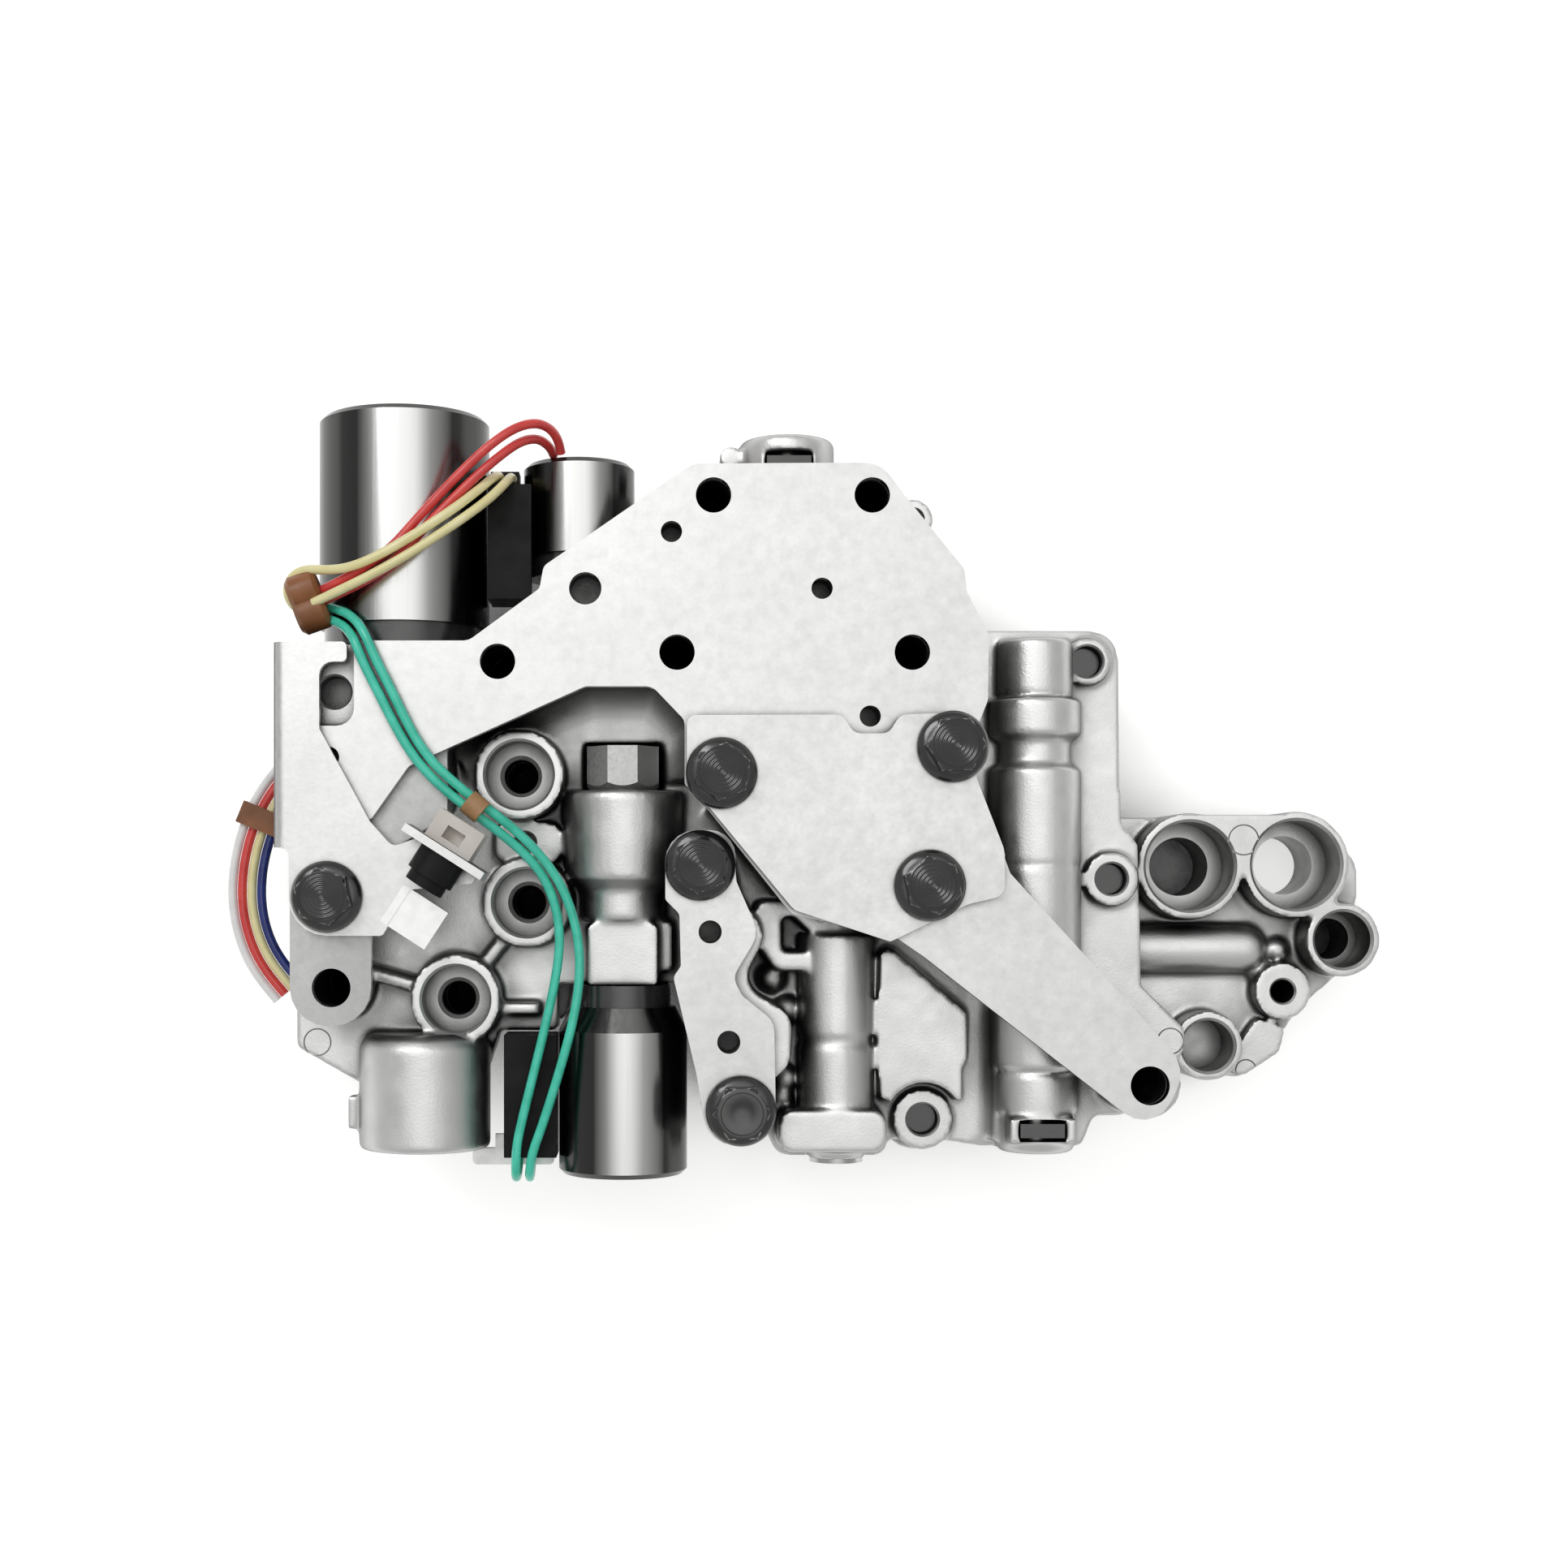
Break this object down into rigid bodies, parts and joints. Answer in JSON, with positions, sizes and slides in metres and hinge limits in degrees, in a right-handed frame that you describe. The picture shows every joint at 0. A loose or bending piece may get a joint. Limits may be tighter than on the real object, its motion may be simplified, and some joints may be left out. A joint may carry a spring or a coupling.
{
  "type": "transmission valve body",
  "caption": "Automatic transmission valve body: stacked die-cast halves with sliding spool valves, steel plates, solenoids, flange bolts and coloured wiring.",
  "frame": {"origin": "on the back face of the lower casting, near its middle", "axes": "+X along the long side towards the pipe sockets, +Y towards the main solenoid, +Z out of the plates"},
  "size_m": [0.2401, 0.1559, 0.0611],
  "materials": {
    "cast_aluminium": "die cast",
    "plate_steel": "satin",
    "grey_steel": "grainy",
    "black_bolt": "oiled black",
    "can_steel": "polished",
    "copper": "enamelled",
    "dark_steel": "oiled",
    "valve_steel": "ground",
    "spring_steel": "drawn",
    "black_plastic": "moulded",
    "pale_plastic": "moulded",
    "red_pvc": "glossy",
    "yellow_pvc": "glossy",
    "green_pvc": "glossy",
    "mixed_pvc": "glossy",
    "brown_rubber": "satin"
  },
  "bodies": {
    "valve_body": {"lower_body": "cast_aluminium", "upper_body": "cast_aluminium", "main_plate": "plate_steel", "cover_plate": "plate_steel", "retainer_plate": "plate_steel", "harness_bracket": "plate_steel", "separator_plate": "grey_steel", "anchor_plate": "grey_steel", "lower_strap": "grey_steel", "adjuster_plug": "grey_steel", "cover_bolts": "black_bolt", "retainer_bolts": "black_bolt", "bracket_bolt": "black_bolt", "body_screws": "black_bolt", "main_can": "can_steel", "small_can": "can_steel", "lower_can": "can_steel", "main_coil": "copper", "small_coil": "copper", "lower_coil": "copper", "main_nose": "dark_steel", "small_nose": "dark_steel", "lower_nose": "dark_steel", "regulator_clip": "dark_steel", "shift_clip": "dark_steel", "regulator_plug": "valve_steel", "switch_plug": "valve_steel", "shift_plug": "valve_steel", "accumulator_cap": "valve_steel", "main_plunger_spring": "spring_steel", "small_plunger_spring": "spring_steel", "lower_plunger_spring": "spring_steel", "regulator_spring": "spring_steel", "switch_spring": "spring_steel", "shift_spring": "spring_steel", "accumulator_spring": "spring_steel", "small_connector": "black_plastic", "lower_connector": "black_plastic", "sensor_connector": "black_plastic", "sensor_clip": "pale_plastic", "red_wires": "red_pvc", "yellow_wires": "yellow_pvc", "green_wires": "green_pvc", "side_wires": "mixed_pvc", "harness_tie": "brown_rubber", "side_tie": "brown_rubber", "wire_tape": "brown_rubber"},
    "regulator_valve": {"regulator_spool": "valve_steel"},
    "switch_valve": {"switch_spool": "valve_steel"},
    "shift_valve": {"shift_spool": "valve_steel"},
    "accumulator": {"accumulator_piston": "valve_steel"},
    "main_armature": {"main_plunger": "valve_steel"},
    "small_armature": {"small_plunger": "valve_steel"},
    "lower_armature": {"lower_plunger": "valve_steel"}
  },
  "joints": [
    {"name": "regulator_slide", "type": "slide", "parent": "valve_body", "child": "regulator_valve", "axis": [0, -1, 0], "range_m": [0, 0.006], "stiffness_N_per_m": 400, "springref_m": -0.002, "deforming": ["regulator_spring"]},
    {"name": "switch_slide", "type": "slide", "parent": "valve_body", "child": "switch_valve", "axis": [0, -1, 0], "range_m": [0, 0.005], "stiffness_N_per_m": 400, "springref_m": -0.002, "deforming": ["switch_spring"]},
    {"name": "shift_slide", "type": "slide", "parent": "valve_body", "child": "shift_valve", "axis": [0, 1, 0], "range_m": [0, 0.004], "stiffness_N_per_m": 500, "springref_m": -0.002, "deforming": ["shift_spring"]},
    {"name": "accumulator_slide", "type": "slide", "parent": "valve_body", "child": "accumulator", "axis": [0, -1, 0], "range_m": [0, 0.004], "stiffness_N_per_m": 900, "springref_m": -0.002, "deforming": ["accumulator_spring"]},
    {"name": "main_plunger_slide", "type": "slide", "parent": "valve_body", "child": "main_armature", "axis": [0, 1, 0], "range_m": [0, 0.0025], "stiffness_N_per_m": 300, "springref_m": -0.002, "deforming": ["main_plunger_spring"]},
    {"name": "small_plunger_slide", "type": "slide", "parent": "valve_body", "child": "small_armature", "axis": [0, 1, 0], "range_m": [0, 0.0025], "stiffness_N_per_m": 300, "springref_m": -0.002, "deforming": ["small_plunger_spring"]},
    {"name": "lower_plunger_slide", "type": "slide", "parent": "valve_body", "child": "lower_armature", "axis": [0, -1, 0], "range_m": [0, 0.0025], "stiffness_N_per_m": 300, "springref_m": -0.002, "deforming": ["lower_plunger_spring"]}
  ]
}
